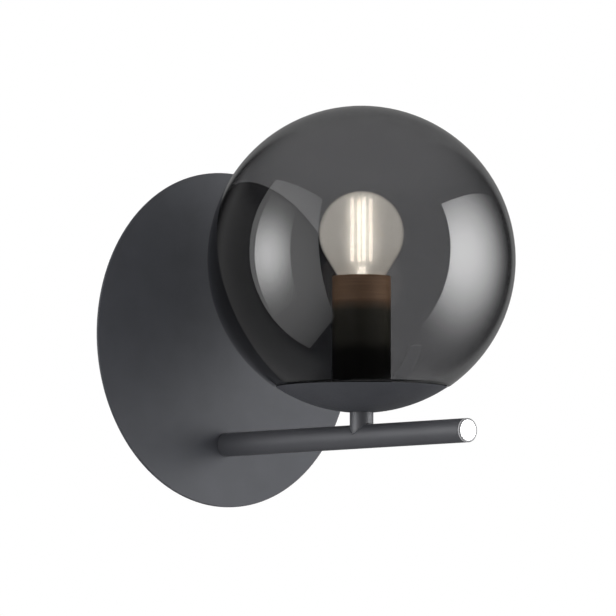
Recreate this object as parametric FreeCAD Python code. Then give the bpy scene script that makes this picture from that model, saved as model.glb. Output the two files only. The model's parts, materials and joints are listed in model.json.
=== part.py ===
import FreeCAD, Part
import math
import os

# Globe wall sconce, in millimetres. The wall is the plane y = 0 with the room at negative y, z is up,
# and the middle of the round wall plate lies straight in front of the origin.

V = FreeCAD.Vector
UP = V(0, 0, 1)
DOWN = V(0, 0, -1)
TO_WALL = V(0, 1, 0)
TO_ROOM = V(0, -1, 0)

# Wall side: a bracket on the wall, and a skirt behind the plate that slips over it.
PLATE_D = 180.0
PLATE_T = 1.2
PLATE_EDGE_BEVEL = 0.3
CANOPY_DEPTH = 18.8        # wall to the back of the plate
SKIRT_D = 136.0
SKIRT_T = 1.2
SKIRT_WALL_GAP = 0.4
BRACKET_T = 1.5
BRACKET_W = 18.0
BRACKET_TAB = 12.0         # how far the bent ends stand off the wall
BRACKET_BEND_R = 2.5
BRACKET_SKIRT_GAP = 1.0
WALL_SLOT_SPACING = 60.0
WALL_SLOT_W = 4.5
WALL_SLOT_L = 12.0
EARTH_TAP_D = 3.3
EARTH_TAP_X = 12.0
SIDE_SCREW_D = 4.0
SIDE_SCREW_HEAD_D = 7.6
SIDE_SCREW_HEAD_T = 2.6
SIDE_SCREW_BEVEL = 0.7
SIDE_SCREW_SLOT = (1.0, 1.1)   # width and depth of the driver slot
SIDE_SCREW_Y = -7.0
SIDE_SCREW_INSIDE = 4.0        # length past the tab
SIDE_SCREW_PLAY = 0.3
SKIRT_NOTCH_W = 4.8

# Arm: a tube square to the plate, closed by a polished cap.
ARM_Z = -56.5
ARM_REACH = 192.0          # plate face to the face of the cap
TUBE_D = 12.7
TUBE_BORE = 10.3
ARM_CHAMFER = 0.5
CAP_T = 1.5
CAP_EDGE_ROUND = 0.6
CAP_SPIGOT_L = 8.0
CAP_SPIGOT_D = 10.2
CAP_HOLLOW_D = 7.6
LEAD_HOLE_D = 7.0

# M10 by 1 hollow nipples with their nuts and toothed washers.
NIPPLE_D = 9.9
NIPPLE_BORE = 7.8
NIPPLE_HOLE_D = 10.2
NUT_FLATS = 13.0
NUT_T = 3.0
WASHER_D = 17.0
WASHER_T = 0.8
WASHER_TEETH = 10
WASHER_NOTCH = (1.6, 1.5)  # width and depth
ARM_NIPPLE_INSIDE = 15.0   # length in the tube
NIPPLE_PAST_NUT = 1.5
THREAD_PLAY = 0.1          # on the diameter, between a nut's bore and its thread
STEM_NIPPLE_ABOVE_ARM = 0.5

# Stem and cup.
STEM_OUT = 109.0           # plate face to the stem's axis
STEM_D = 12.5
CUP_ABOVE_ARM = 13.0       # arm axis to the flat under the cup
CUP_RIM_R = 45.3
CUP_RIM_ABOVE_ARM = 26.2
CUP_FLAT_DROP = 0.4        # what the flat takes off the sphere's pole
CUP_T = 1.2
CUP_FLOOR_T = 1.5          # the flat under the holder

# Globe.
GLOBE_D = 163.0
GLOBE_ABOVE_ARM = 93.5
GLASS_T = 2.0
GLOBE_HOLE_D = 54.0        # lets the bulb through
GLOBE_RIM_GAP = 0.45
GLOBE_SHOULDER_ROUND = 2.4
GLOBE_LEDGE_T = 1.9
SEAT_GAP = 1.0             # cup to glass, partly filled by the soft ring
SEAT_RING_R = (30.0, 36.0)
SEAT_RING_T = 0.7

# Spring that grips the globe, one piece with three arms.
SPRING_ARMS = 3
SPRING_FIRST_ARM = 90.0
SPRING_T = 0.5
SPRING_W = 7.0
SPRING_HUB_D = 21.0
SPRING_ROOT_IN = 1.0       # how far an arm's strip runs into the hub, at both ends of it
SPRING_BEND_R = 1.2
SPRING_SIDE_GAP = 0.6      # to the edge of the globe's hole
SPRING_FOOT_IN = 2.6       # the arm's low bend, inside its grip
SPRING_FOOT_LIFT = 0.5
SPRING_LEAN = 0.5          # the grip's outward lean
SPRING_GRIP_H = 2.5        # from the hole's upper edge to the widest point
SPRING_TIP_H = 6.0
SPRING_TIP_IN = 2.0

# Lampholder for an E14 lamp.
HOLDER_D = 31.0
HOLDER_T = 0.8
HOLDER_ABOVE_SPRING = 1.9
HOLDER_TOP_ABOVE_ARM = 70.8
COLLAR_TOP_ABOVE_ARM = 84.9
COLLAR_T = 1.0
COLLAR_SPIGOT_L = 5.0
COLLAR_SPIGOT_T = 0.6
SOCKET_D = 28.0
SOCKET_T = 1.6
SOCKET_FLOOR = 3.0
SOCKET_SPLIT_Z = -12.0     # joint between the holder's base and body
SOCKET_TOP_Z = 20.0
CORE_T = 5.0
CORE_PLAY = 0.4            # on the diameter
MOUTH_GAP = 2.0            # round the lamp's skirt
SHELL_BORE = 14.3
SHELL_T = 0.4
SHELL_LOW_Z = -1.5
SHELL_TOP_Z = 16.6
CONTACT_LEAF = (4.0, 0.4)  # width and thickness
CONTACT_BEND_R = 0.6
CONTACT_GAP = 0.25         # lamp's tip to the leaf at rest
CONTACT_RISE_X = (3.0, 0.6)    # where the leaf starts to rise, and where it is up
CONTACT_CROWN_END = -2.4
CONTACT_TIP = (-4.0, 1.0)      # place across, and how far its turned-down tip drops
CONTACT_TAIL = 1.0         # past the terminal's middle
SHELL_LEAF_START = 1.7
TERMINAL_X = 6.5
TERMINAL_D = 4.4
TERMINAL_L = 7.0
TERMINAL_STEM_D = 3.2

# Bulb, a golf-ball lamp with an E14 cap.
BULB_D = 45.0
BULB_ABOVE_ARM = 107.5
BULB_GLASS_T = 0.7
BULB_TAPER = 31.0          # degrees from upright, below the ball
BULB_NECK_R = 7.6
BULB_FLARE = 0.7           # the neck widens by this to meet the taper
BULB_CAP_R = 6.9
BULB_CAP_T = 0.3
BULB_SKIRT_R = 8.5
BULB_SKIRT_TOP = 20.6
BULB_SKIRT_LOW = 17.0
BULB_SKIRT_FLARE = 1.4     # height of the cone between thread and skirt
BULB_SHELL_LOW = -0.5
BULB_SHELL_LIP_R = 3.2
BULB_SHELL_TAPER = (0.8, 1.2)  # in, and up, at the foot of the thread
BULB_GLASS_IN_CAP = 1.5
BULB_TIP_Z = -4.5
BULB_TIP_R = 2.4
BULB_TIP_T = 0.9
BULB_INSULATOR_LOW_R = 2.7
BULB_INSULATOR_TOP_R = 5.3
BULB_INSULATOR_BORE_R = 1.44
FILAMENTS = 4
FILAMENT_CIRCLE_R = 5.1
FILAMENT_R = 0.95
FILAMENT_LOW = 36.4
FILAMENT_TOP = 69.6
FILAMENT_TURN = -27.0      # first filament, in degrees from +X about Z
WIRE_R = 0.28
WIRE_ROOT = 0.22           # share of the filaments' circle at which their wires leave the mount
WIRE_CROSS_H = 1.2         # the cross over the filaments' tops
MOUNT_TOP = 33.5
MOUNT_R = 2.2
MOUNT_TIP_R = 1.6
MOUNT_FLARE_H = 6.0
MOUNT_FOOT_T = 0.8
MOUNT_FOOT_GAP = 0.3
MOUNT_THROAT_R = 2.6
DRIVER_BOARD = (9.0, 1.0, 13.0)

# Wiring behind the plate.
LEAD_D = 2.0
LEAD_SIDE = 1.5            # live and neutral run this far each side of the middle
BLOCK_Z = -18.0
BLOCK_POLES = 3
BLOCK_PITCH = 8.0
BLOCK_H = 16.0
BLOCK_POLE_R = 3.9
BLOCK_FOOT_T = 3.0
BLOCK_LIFT = 2.0           # boss height under the block
BLOCK_BARREL_R = (1.5, 2.4)
BLOCK_SCREW_D = 3.0
BLOCK_SCREW_Z = 4.5
BLOCK_SCREW_WALL = 1.0     # plastic round each screw's bore
BLOCK_SCREW_PLAY = 0.4
BLOCK_TOWER_H = 2.0        # over the poles
BLOCK_BARREL_IN = 1.0      # barrel's ends inside the block's ends
BLOCK_WEB = 1.0            # how much slimmer a pole is than its pitch allows
BLOCK_SCREW_GAP = 0.3      # screw's tip to the far side of the barrel
BLOCK_SCREW_SLOT = (1.6, 0.6)  # twice its depth, and its width
BLOCK_FIX_D = 2.0          # screw that holds the block down
BLOCK_FIX_HEAD_D = 2.6
BLOCK_FIX_PLAY = 0.2
LEAD_GRIP = 4.0            # length of a lead inside its terminal
LEAD_DROP = 7.0            # straight run below the block
LEAD_BEND_ABOVE_ARM = 15.0
LEAD_RISE = 2.0            # straight run over the holder's floor
LEAD_STRAIGHT = 5.0        # below its terminal
LEAD_BENDS = [6.0, 8.0, 8.0, 6.0, 6.0, 6.0]
EARTH_LEAD_TURN_X = -14.0
EARTH_LEAD_BENDS = [7.0, 6.0]
EARTH_STUD_X = -30.0
EARTH_STUD_Z = -38.0
EARTH_STUD_D = 4.0
EARTH_STUD_L = 9.0
EARTH_STUD_PLAY = 0.2
EARTH_WASHER_D = 9.0
EARTH_NUT_FLATS = 7.0
EARTH_NUT_T = 2.8
EARTH_RING_R = 4.0
EARTH_RING_T = 0.8
EARTH_NECK = 1.5           # flat neck past the ring's rim
EARTH_BARREL_START = 0.8   # past the ring's rim
EARTH_BARREL_L = 7.0
EARTH_BARREL_R = 1.7

# Worked out from the sizes above.
PLATE_BACK_Y = -CANOPY_DEPTH
PLATE_FRONT_Y = PLATE_BACK_Y - PLATE_T
CAP_SEAM_Y = PLATE_FRONT_Y - ARM_REACH + CAP_T
STEM_Y = PLATE_FRONT_Y - STEM_OUT
STEM_TOP_Z = ARM_Z + CUP_ABOVE_ARM
CUP_POLE_Z = STEM_TOP_Z - CUP_FLAT_DROP
CUP_RIM_Z = ARM_Z + CUP_RIM_ABOVE_ARM
CUP_SAG = CUP_RIM_Z - CUP_POLE_Z
CUP_R = (CUP_RIM_R ** 2 + CUP_SAG ** 2) / (2 * CUP_SAG)
CUP_CENTRE_Z = CUP_POLE_Z + CUP_R
CUP_FLOOR_Z = STEM_TOP_Z + CUP_FLOOR_T
GLOBE_R = GLOBE_D / 2
GLOBE_Z = ARM_Z + GLOBE_ABOVE_ARM
DISH_R = CUP_R - CUP_T - SEAT_GAP
SPRING_TOP_Z = CUP_FLOOR_Z + SPRING_T
CUP_NUT_Z = SPRING_TOP_Z + WASHER_T
SOCKET_Z = CUP_NUT_Z + NUT_T
HOLDER_TOP_Z = ARM_Z + HOLDER_TOP_ABOVE_ARM
COLLAR_TOP_Z = ARM_Z + COLLAR_TOP_ABOVE_ARM
BULB_Z = ARM_Z + BULB_ABOVE_ARM
CORE_TOP_Z = SOCKET_SPLIT_Z + CORE_T
BLOCK_Y = PLATE_BACK_Y + BLOCK_LIFT + BLOCK_FOOT_T + BLOCK_POLE_R / 2
TERMINAL_LOW_Z = SOCKET_SPLIT_Z - TERMINAL_L
BLOCK_LOW_Z = BLOCK_Z - BLOCK_H / 2
EARTH_BARREL_X = EARTH_STUD_X + EARTH_RING_R + EARTH_BARREL_START
EARTH_BARREL_END_X = EARTH_BARREL_X + EARTH_BARREL_L


# --- Building tools ---

def cylinder(diameter, start, direction, length):
    return Part.makeCylinder(diameter / 2, length, start, direction)


def tube(outer_d, bore_d, start, direction, length):
    return cylinder(outer_d, start, direction, length).cut(cylinder(bore_d, start, direction, length))


def box(size, centre):
    corner = V(*centre) - V(*size) * 0.5
    return Part.makeBox(*size, corner)


def joined(shapes):
    whole = shapes[0].multiFuse(shapes[1:])
    return whole.removeSplitter()


def between(centre, start, end):
    """Middle point of the short arc from start to end about centre, each a pair (r, height)."""
    cx, cz = centre
    radius = math.hypot(start[0] - cx, start[1] - cz)
    mx = (start[0] + end[0]) / 2 - cx
    mz = (start[1] + end[1]) / 2 - cz
    stretch = radius / math.hypot(mx, mz)
    return (cx + mx * stretch, cz + mz * stretch)


def outline(start, moves):
    """Closed wire in (r, height) pairs; a move is a point, or (middle, end) for an arc."""
    here = start
    edges = []
    for move in moves + [start]:
        is_arc = isinstance(move[0], tuple)
        end = move[1] if is_arc else move
        a = V(here[0], 0, here[1])
        b = V(end[0], 0, end[1])
        if is_arc:
            middle = V(move[0][0], 0, move[0][1])
            edges.append(Part.Arc(a, middle, b).toShape())
        elif a.distanceToPoint(b) > 1e-6:
            edges.append(Part.LineSegment(a, b).toShape())
        here = end
    return Part.Wire(edges)


def turned(start, moves):
    """Solid of revolution about the upright axis through the origin."""
    return Part.Face(outline(start, moves)).revolve(V(0, 0, 0), UP, 360)


def on_stem(shape):
    return shape.translated(V(0, STEM_Y, 0))


def along_arm(shape, y):
    """Turns a shape made about the upright axis to face the room, with its base at y on the arm's axis."""
    placed = shape.rotated(V(0, 0, 0), V(1, 0, 0), 90)
    return placed.translated(V(0, y, ARM_Z))


def rounded_path(points, radii):
    """Straight runs through the points, joined by a tangent arc of its own radius at each inner point."""
    edges = []
    here = points[0]
    for i, radius in enumerate(radii, start=1):
        corner = points[i]
        back = (points[i - 1] - corner).normalize()
        on = (points[i + 1] - corner).normalize()
        half = back.getAngle(on) / 2
        reach = radius / math.tan(half)
        enter = corner + back * reach
        leave = corner + on * reach
        bisector = (back + on).normalize()
        middle = corner + bisector * (radius / math.sin(half) - radius)
        edges.append(Part.LineSegment(here, enter).toShape())
        edges.append(Part.Arc(enter, middle, leave).toShape())
        here = leave
    edges.append(Part.LineSegment(here, points[-1]).toShape())
    return Part.Wire(edges)


def lead(points, radii):
    path = rounded_path(points, radii)
    section = Part.Wire(Part.makeCircle(LEAD_D / 2, points[0], points[1] - points[0]))
    return path.makePipeShell([section], True, False)


def strip(points, radii, width, thickness, side):
    """Flat strip bent along a path in one plane; side is the unit vector across its width."""
    path = rounded_path(points, radii)
    normal = (points[1] - points[0]).normalize().cross(side)
    corners = []
    for across, through in ((-1, -1), (1, -1), (1, 1), (-1, 1)):
        offset = side * (across * width / 2) + normal * (through * thickness / 2)
        corners.append(points[0] + offset)
    section = Part.makePolygon(corners + corners[:1])
    return path.makePipeShell([section], True, True)


def sphere_height(centre_z, radius, r):
    """Height of the lower half of a sphere at distance r from its upright axis."""
    return centre_z - math.sqrt(radius ** 2 - r ** 2)


def nut(flats, thickness, bore_d):
    """Hexagonal nut standing on z = 0."""
    corner_r = flats / math.sqrt(3)
    points = []
    for i in range(6):
        turn = math.radians(60 * i)
        points.append(V(corner_r * math.cos(turn), corner_r * math.sin(turn), 0))
    hexagon = Part.Face(Part.makePolygon(points + points[:1])).extrude(UP * thickness)
    return hexagon.cut(cylinder(bore_d, V(0, 0, 0), UP, thickness))


def toothed_washer():
    """External-tooth lock washer standing on z = 0."""
    ring = tube(WASHER_D, NIPPLE_HOLE_D, V(0, 0, 0), UP, WASHER_T)
    width, depth = WASHER_NOTCH
    notch = box((depth * 2, width, WASHER_T * 3), (WASHER_D / 2, 0, 0))
    notches = [notch.rotated(V(0, 0, 0), UP, 360 * i / WASHER_TEETH) for i in range(WASHER_TEETH)]
    return ring.cut(notches)


def mirrored(shape):
    return shape.mirror(V(0, 0, 0), V(1, 0, 0))


# --- Wall side ---

def wall_bracket():
    half = SKIRT_D / 2 - SKIRT_T - BRACKET_SKIRT_GAP - BRACKET_T / 2
    mid = -BRACKET_T / 2
    points = [V(-half, -BRACKET_TAB, 0), V(-half, mid, 0), V(half, mid, 0), V(half, -BRACKET_TAB, 0)]
    bar = strip(points, [BRACKET_BEND_R] * 2, BRACKET_W, BRACKET_T, UP)
    straight = WALL_SLOT_L - WALL_SLOT_W
    holes = [cylinder(EARTH_TAP_D, V(EARTH_TAP_X, 0, 0), TO_ROOM, BRACKET_T)]
    for side in (-1, 1):
        x = side * WALL_SLOT_SPACING / 2
        holes.append(box((straight, BRACKET_T * 3, WALL_SLOT_W), (x, 0, 0)))
        for end in (-1, 1):
            holes.append(cylinder(WALL_SLOT_W, V(x + end * straight / 2, 0, 0), TO_ROOM, BRACKET_T))
        tab_hole = V(side * (half - BRACKET_T), SIDE_SCREW_Y, 0)
        holes.append(cylinder(SIDE_SCREW_D, tab_hole, V(side, 0, 0), BRACKET_T * 2))
    return bar.cut(holes)


def side_screws():
    tab_inside = SKIRT_D / 2 - SKIRT_T - BRACKET_SKIRT_GAP - BRACKET_T
    head_x = SKIRT_D / 2 + SIDE_SCREW_PLAY
    shank = cylinder(SIDE_SCREW_D, V(tab_inside - SIDE_SCREW_INSIDE, SIDE_SCREW_Y, 0), V(1, 0, 0),
                     head_x - tab_inside + SIDE_SCREW_INSIDE)
    full = SIDE_SCREW_HEAD_T - SIDE_SCREW_BEVEL
    head = cylinder(SIDE_SCREW_HEAD_D, V(head_x, SIDE_SCREW_Y, 0), V(1, 0, 0), full)
    crown = Part.makeCone(SIDE_SCREW_HEAD_D / 2, SIDE_SCREW_HEAD_D / 2 - SIDE_SCREW_BEVEL, SIDE_SCREW_BEVEL,
                          V(head_x + full, SIDE_SCREW_Y, 0), V(1, 0, 0))
    width, depth = SIDE_SCREW_SLOT
    slot = box((depth * 2, SIDE_SCREW_HEAD_D + 1, width), (head_x + SIDE_SCREW_HEAD_T, SIDE_SCREW_Y, 0))
    screw = joined([shank, head, crown]).cut(slot)
    return Part.makeCompound([screw, mirrored(screw)])


def wall_plate():
    rim = PLATE_D / 2
    bevel = PLATE_EDGE_BEVEL
    disc = turned((0, 0), [(rim, 0), (rim, PLATE_T - bevel), (rim - bevel, PLATE_T), (0, PLATE_T)])
    disc = disc.rotated(V(0, 0, 0), V(1, 0, 0), 90).translated(V(0, PLATE_BACK_Y, 0))
    return disc.cut(cylinder(NIPPLE_HOLE_D, V(0, PLATE_BACK_Y, ARM_Z), TO_ROOM, PLATE_T))


def plate_skirt():
    length = CANOPY_DEPTH - SKIRT_WALL_GAP
    ring = tube(SKIRT_D, SKIRT_D - 2 * SKIRT_T, V(0, -SKIRT_WALL_GAP, 0), TO_ROOM, length)
    notches = []
    for side in (-1, 1):
        x = side * SKIRT_D / 2
        notches.append(cylinder(SKIRT_NOTCH_W, V(x - side * SKIRT_T * 3, SIDE_SCREW_Y, 0), V(side, 0, 0),
                                SKIRT_T * 4))
        notches.append(box((SKIRT_T * 6, -SIDE_SCREW_Y, SKIRT_NOTCH_W), (x, SIDE_SCREW_Y / 2, 0)))
    return ring.cut(notches)


# --- Arm ---

def arm_tube():
    length = ARM_REACH - CAP_T
    outer = turned(
        (TUBE_BORE / 2, 0),
        [(TUBE_D / 2 - ARM_CHAMFER, 0), (TUBE_D / 2, ARM_CHAMFER), (TUBE_D / 2, length),
         (TUBE_BORE / 2, length)],
    )
    lead_hole = cylinder(LEAD_HOLE_D, V(0, STEM_Y, ARM_Z), UP, TUBE_D)
    return along_arm(outer, PLATE_FRONT_Y).cut(lead_hole)


def end_cap():
    rim = TUBE_D / 2
    soft = rim - CAP_EDGE_ROUND
    cap = turned(
        (0, 0),
        [(CAP_HOLLOW_D / 2, 0), (CAP_HOLLOW_D / 2, -CAP_SPIGOT_L), (CAP_SPIGOT_D / 2, -CAP_SPIGOT_L),
         (CAP_SPIGOT_D / 2, 0), (rim, 0), (rim, CAP_T - CAP_EDGE_ROUND),
         (between((soft, CAP_T - CAP_EDGE_ROUND), (rim, CAP_T - CAP_EDGE_ROUND), (soft, CAP_T)),
          (soft, CAP_T)),
         (0, CAP_T)],
    )
    return along_arm(cap, CAP_SEAM_Y)


def arm_nipple():
    rear = PLATE_BACK_Y + WASHER_T + NUT_T + NIPPLE_PAST_NUT
    length = rear - PLATE_FRONT_Y + ARM_NIPPLE_INSIDE
    return tube(NIPPLE_D, NIPPLE_BORE, V(0, rear, ARM_Z), TO_ROOM, length)


def arm_washer():
    return along_arm(toothed_washer(), PLATE_BACK_Y + WASHER_T)


def arm_nut():
    return along_arm(nut(NUT_FLATS, NUT_T, NIPPLE_D + THREAD_PLAY), PLATE_BACK_Y + WASHER_T + NUT_T)


# --- Stem and cup ---

def stem_tube():
    stem = tube(STEM_D, TUBE_BORE, V(0, STEM_Y, ARM_Z), UP, STEM_TOP_Z - ARM_Z)
    arm_body = cylinder(TUBE_D, V(0, PLATE_FRONT_Y, ARM_Z), TO_ROOM, ARM_REACH - CAP_T)
    return stem.cut(arm_body)


def stem_nipple():
    low = ARM_Z + TUBE_D / 2 + STEM_NIPPLE_ABOVE_ARM
    top = SOCKET_Z + SOCKET_FLOOR + NIPPLE_PAST_NUT
    return tube(NIPPLE_D, NIPPLE_BORE, V(0, STEM_Y, low), UP, top - low)


def cup():
    inner_r = CUP_R - CUP_T
    centre = (0, CUP_CENTRE_Z)
    rim_out = (CUP_RIM_R, CUP_RIM_Z)
    rim_in = (math.sqrt(inner_r ** 2 - (CUP_CENTRE_Z - CUP_RIM_Z) ** 2), CUP_RIM_Z)
    flat_out = (math.sqrt(CUP_R ** 2 - (CUP_CENTRE_Z - STEM_TOP_Z) ** 2), STEM_TOP_Z)
    flat_in = (math.sqrt(inner_r ** 2 - (CUP_CENTRE_Z - CUP_FLOOR_Z) ** 2), CUP_FLOOR_Z)
    hole_r = NIPPLE_HOLE_D / 2
    shell = turned(
        (hole_r, STEM_TOP_Z),
        [flat_out, (between(centre, flat_out, rim_out), rim_out), rim_in,
         (between(centre, rim_in, flat_in), flat_in), (hole_r, CUP_FLOOR_Z)],
    )
    return on_stem(shell)


def cup_washer():
    return toothed_washer().translated(V(0, STEM_Y, SPRING_TOP_Z))


def cup_nut():
    return nut(NUT_FLATS, NUT_T, NIPPLE_D + THREAD_PLAY).translated(V(0, STEM_Y, CUP_NUT_Z))


def globe_spring():
    """Hub clamped under the cup's nut, with three arms that rise inside the globe's hole."""
    mid = CUP_FLOOR_Z + SPRING_T / 2
    hub = tube(SPRING_HUB_D, NIPPLE_HOLE_D, V(0, 0, CUP_FLOOR_Z), UP, SPRING_T)
    grip_r = GLOBE_HOLE_D / 2 - SPRING_SIDE_GAP - SPRING_T / 2
    foot_r = grip_r - SPRING_FOOT_IN
    foot_z = sphere_height(CUP_CENTRE_Z, CUP_R - CUP_T, foot_r) + SPRING_T + SPRING_FOOT_LIFT
    hole_z = sphere_height(CUP_CENTRE_Z, DISH_R, GLOBE_HOLE_D / 2) + GLASS_T
    points = [
        V(NIPPLE_HOLE_D / 2 + SPRING_ROOT_IN, 0, mid),
        V(SPRING_HUB_D / 2 - SPRING_ROOT_IN, 0, mid),
        V(foot_r, 0, foot_z),
        V(grip_r - SPRING_LEAN, 0, hole_z),
        V(grip_r, 0, hole_z + SPRING_GRIP_H),
        V(grip_r - SPRING_TIP_IN, 0, hole_z + SPRING_TIP_H),
    ]
    arm = strip(points, [SPRING_BEND_R] * 4, SPRING_W, SPRING_T, TO_WALL)
    turns = [SPRING_FIRST_ARM + 360 * i / SPRING_ARMS for i in range(SPRING_ARMS)]
    arms = [arm.rotated(V(0, 0, 0), UP, turn) for turn in turns]
    return on_stem(joined([hub] + arms))


def seat_ring():
    """Soft ring lying in the cup under the glass."""
    inner, outer = SEAT_RING_R
    low_r = CUP_R - CUP_T
    top_r = low_r - SEAT_RING_T
    inner_low = (inner, sphere_height(CUP_CENTRE_Z, low_r, inner))
    outer_low = (outer, sphere_height(CUP_CENTRE_Z, low_r, outer))
    outer_top = (outer, sphere_height(CUP_CENTRE_Z, top_r, outer))
    inner_top = (inner, sphere_height(CUP_CENTRE_Z, top_r, inner))
    return on_stem(turned(inner_low, [outer_low, outer_top, inner_top]))


# --- Globe ---

def globe_glass():
    """Blown sphere with a shoulder over the cup's rim and a dished, holed bottom nesting in the cup."""
    centre = (0, GLOBE_Z)
    dish_centre = (0, CUP_CENTRE_Z)
    inner_r = GLOBE_R - GLASS_T
    dish_inner_r = DISH_R - GLASS_T
    hole_r = GLOBE_HOLE_D / 2
    shoulder_z = CUP_RIM_Z + GLOBE_RIM_GAP
    soft = GLOBE_SHOULDER_ROUND
    soft_r = math.sqrt((GLOBE_R - soft) ** 2 - (GLOBE_Z - shoulder_z - soft) ** 2)
    soft_centre = (soft_r, shoulder_z + soft)
    stretch = GLOBE_R / (GLOBE_R - soft)
    tangent = (soft_r * stretch, GLOBE_Z + (soft_centre[1] - GLOBE_Z) * stretch)
    shoulder_in = (math.sqrt(DISH_R ** 2 - (CUP_CENTRE_Z - shoulder_z) ** 2), shoulder_z)
    hole_low = (hole_r, sphere_height(CUP_CENTRE_Z, DISH_R, hole_r))
    hole_top = (hole_r, sphere_height(CUP_CENTRE_Z, dish_inner_r, hole_r))
    ledge_z = shoulder_z + GLOBE_LEDGE_T
    ledge_in = (math.sqrt(dish_inner_r ** 2 - (CUP_CENTRE_Z - ledge_z) ** 2), ledge_z)
    ledge_out = (math.sqrt(inner_r ** 2 - (GLOBE_Z - ledge_z) ** 2), ledge_z)
    top = (0, GLOBE_Z + GLOBE_R)
    inner_top = (0, GLOBE_Z + inner_r)
    glass = turned(
        top,
        [(between(centre, top, tangent), tangent),
         (between(soft_centre, tangent, (soft_r, shoulder_z)), (soft_r, shoulder_z)),
         shoulder_in, (between(dish_centre, shoulder_in, hole_low), hole_low), hole_top,
         (between(dish_centre, hole_top, ledge_in), ledge_in), ledge_out,
         (between(centre, ledge_out, inner_top), inner_top)],
    )
    return on_stem(glass)


# --- Lampholder ---

def holder_sleeve():
    low = SPRING_TOP_Z + HOLDER_ABOVE_SPRING
    return on_stem(tube(HOLDER_D, HOLDER_D - 2 * HOLDER_T, V(0, 0, low), UP, HOLDER_TOP_Z - low))


def holder_collar():
    outer = HOLDER_D / 2
    inner = outer - COLLAR_T
    spigot_outer = outer - HOLDER_T
    spigot_inner = spigot_outer - COLLAR_SPIGOT_T
    spigot_low = HOLDER_TOP_Z - COLLAR_SPIGOT_L
    edge = COLLAR_T / 3
    ring = turned(
        (spigot_inner, spigot_low),
        [(spigot_outer, spigot_low), (spigot_outer, HOLDER_TOP_Z), (outer, HOLDER_TOP_Z),
         (outer, COLLAR_TOP_Z - edge), (outer - edge, COLLAR_TOP_Z), (inner, COLLAR_TOP_Z),
         (inner, HOLDER_TOP_Z + COLLAR_T), (spigot_inner, HOLDER_TOP_Z + COLLAR_T)],
    )
    return on_stem(ring)


def holder_base():
    """Lower half of the holder: it screws on the nipple and covers the terminals."""
    outer = SOCKET_D / 2
    inner = outer - SOCKET_T
    entry = (NIPPLE_D + THREAD_PLAY) / 2
    floor = SOCKET_Z + SOCKET_FLOOR
    base = turned(
        (entry, SOCKET_Z),
        [(outer, SOCKET_Z), (outer, SOCKET_SPLIT_Z), (inner, SOCKET_SPLIT_Z), (inner, floor), (entry, floor)],
    )
    return on_stem(base)


def holder_core():
    """Insulating disc that carries the contacts, with a hole over each terminal."""
    disc = cylinder(SOCKET_D - 2 * SOCKET_T - CORE_PLAY, V(0, 0, SOCKET_SPLIT_Z), UP, CORE_T)
    for side in (-1, 1):
        disc = disc.cut(cylinder(TERMINAL_STEM_D, V(side * TERMINAL_X, 0, SOCKET_SPLIT_Z), UP, CORE_T))
    return on_stem(disc)


def holder_body():
    """Upper half of the holder, round the screw shell, with a wide mouth for the bulb's skirt."""
    outer = SOCKET_D / 2
    bore = SHELL_BORE / 2 + SHELL_T
    core_r = outer - SOCKET_T
    mouth = BULB_SKIRT_R + MOUTH_GAP
    body = turned(
        (core_r, SOCKET_SPLIT_Z),
        [(outer, SOCKET_SPLIT_Z), (outer, SOCKET_TOP_Z), (mouth, SOCKET_TOP_Z), (mouth, SHELL_TOP_Z),
         (bore, SHELL_TOP_Z), (bore, SHELL_LOW_Z), (core_r, SHELL_LOW_Z)],
    )
    return on_stem(body)


def screw_shell():
    return on_stem(tube(SHELL_BORE + 2 * SHELL_T, SHELL_BORE, V(0, 0, SHELL_LOW_Z), UP,
                        SHELL_TOP_Z - SHELL_LOW_Z))


def centre_contact():
    """Sprung leaf on the core that presses the bulb's end contact."""
    width, thick = CONTACT_LEAF
    low = CORE_TOP_Z + thick / 2
    crown = BULB_TIP_Z - CONTACT_GAP - thick / 2
    start_x, up_x = CONTACT_RISE_X
    tip_x, drop = CONTACT_TIP
    points = [
        V(TERMINAL_X + CONTACT_TAIL, 0, low),
        V(start_x, 0, low),
        V(up_x, 0, crown),
        V(CONTACT_CROWN_END, 0, crown),
        V(tip_x, 0, crown - drop),
    ]
    return on_stem(strip(points, [CONTACT_BEND_R] * 3, width, thick, TO_WALL))


def shell_contact():
    """Leaf from the neutral terminal up to the foot of the screw shell."""
    width, thick = CONTACT_LEAF
    low = CORE_TOP_Z + thick / 2
    wall = SHELL_BORE / 2 + SHELL_T / 2
    points = [V(-TERMINAL_X + SHELL_LEAF_START, 0, low), V(-wall, 0, low), V(-wall, 0, SHELL_LOW_Z)]
    return on_stem(strip(points, [thick], width, thick, TO_WALL))


def holder_terminals():
    """Two brass clamps under the core, each with its screw through the core."""
    clamps = []
    for side in (-1, 1):
        x = side * TERMINAL_X
        block = cylinder(TERMINAL_D, V(x, 0, TERMINAL_LOW_Z), UP, TERMINAL_L)
        block = block.cut(cylinder(LEAD_D, V(x, 0, TERMINAL_LOW_Z), UP, LEAD_GRIP))
        stem = cylinder(TERMINAL_STEM_D, V(x, 0, SOCKET_SPLIT_Z), UP, CORE_T)
        clamps.append(on_stem(block.fuse(stem)))
    return Part.makeCompound(clamps)


# --- Bulb ---

def bulb_outline(shrink):
    """Points of the envelope, from its top down to the neck, taken in by shrink."""
    lean = math.radians(BULB_TAPER)
    ball = BULB_D / 2 - shrink
    neck_r = BULB_NECK_R - shrink
    top = (0, BULB_Z + ball)
    tangent = (ball * math.cos(lean), BULB_Z - ball * math.sin(lean))
    flare = BULB_FLARE
    fall = (tangent[0] - neck_r - flare) / math.tan(lean)
    cone_end = (neck_r + flare, tangent[1] - fall)
    neck = (neck_r, BULB_SKIRT_TOP - BULB_GLASS_IN_CAP)
    return top, tangent, cone_end, neck


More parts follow.
